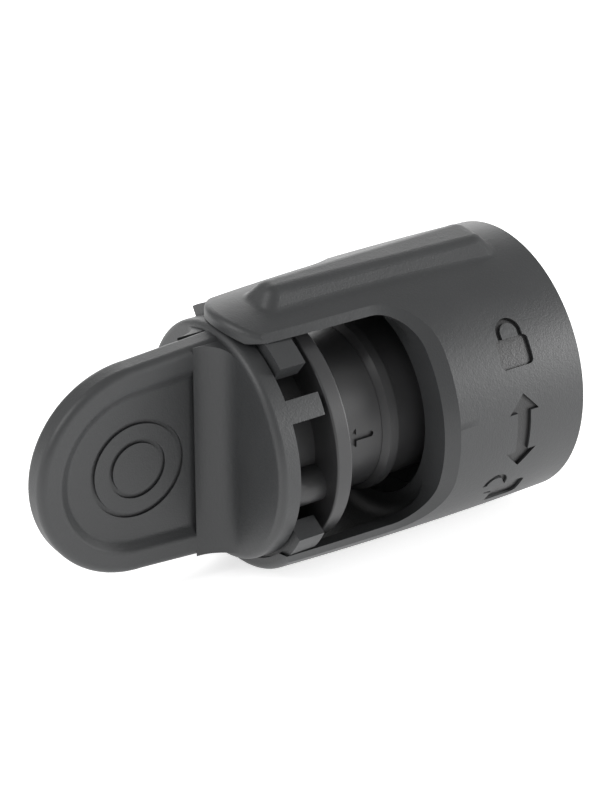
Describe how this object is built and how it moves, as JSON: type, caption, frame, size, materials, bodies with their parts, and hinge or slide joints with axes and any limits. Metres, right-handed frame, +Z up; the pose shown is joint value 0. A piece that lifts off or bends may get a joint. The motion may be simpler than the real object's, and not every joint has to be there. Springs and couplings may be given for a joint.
{
  "type": "umbrella swivel bracket",
  "caption": "Swivel bracket for an umbrella: a flat tongue on a turning head, held by a twist collar with two hooked arms, round a core with a pole socket.",
  "frame": {"origin": "centre of the pole socket's mouth, on the common axis", "axes": "+X along the axis out of the socket's mouth, away from the tongue; +Z up, in the plane of the tongue; the tongue's flat faces look along +Y and -Y"},
  "size_m": [0.0853, 0.044, 0.046],
  "materials": {
    "head_moulding": "charcoal moulded nylon, fine texture",
    "collar_moulding": "charcoal moulded nylon, fine texture",
    "core_moulding": "charcoal moulded nylon, smooth",
    "ring_plastic": "dark moulded nylon",
    "liner_plastic": "black acetal, satin",
    "black_pad": "black rubber",
    "friction_pad": "pressed friction fibre",
    "rubber": "black nitrile rubber",
    "steel": "zinc-plated spring and screw steel",
    "brass": "turned brass",
    "bronze": "sintered bronze"
  },
  "bodies": {
    "core": {"index_core": "core_moulding", "axle_bush": "bronze", "friction_washer": "friction_pad", "socket_stop_disc": "black_pad", "pole_collet": "liner_plastic", "drag_rings": "rubber", "slide_washer": "steel", "retaining_clip": "steel", "detent_spring_near": "steel", "detent_spring_far": "steel"},
    "collar": {"twist_collar": "collar_moulding", "sleeve_liner": "liner_plastic", "stop_pins": "steel", "end_ring": "ring_plastic"},
    "head": {"swivel_head": "head_moulding", "thread_insert": "brass", "axle_bolt": "steel", "thrust_washer": "steel", "disc_springs": "steel"},
    "plunger_near": {"detent_plunger_near": "steel"},
    "plunger_far": {"detent_plunger_far": "steel"}
  },
  "joints": [
    {"name": "collar_twist", "type": "hinge", "parent": "core", "child": "collar", "pos_m": [0, 0, 0], "axis": [1, 0, 0], "range_deg": [-41.5, 25.5]},
    {"name": "head_swivel", "type": "hinge", "parent": "collar", "child": "head", "pos_m": [0, 0, 0], "axis": [1, 0, 0], "range_deg": [-11.5, 56.5]},
    {"name": "plunger_near_slide", "type": "slide", "parent": "core", "child": "plunger_near", "axis": [1, 0, 0], "range_m": [0, 0.0008], "stiffness_N_per_m": 1500, "springref_m": -0.0003, "deforming": ["detent_spring_near"]},
    {"name": "plunger_far_slide", "type": "slide", "parent": "core", "child": "plunger_far", "axis": [1, 0, 0], "range_m": [0, 0.0008], "stiffness_N_per_m": 1500, "springref_m": -0.0003, "deforming": ["detent_spring_far"]}
  ]
}
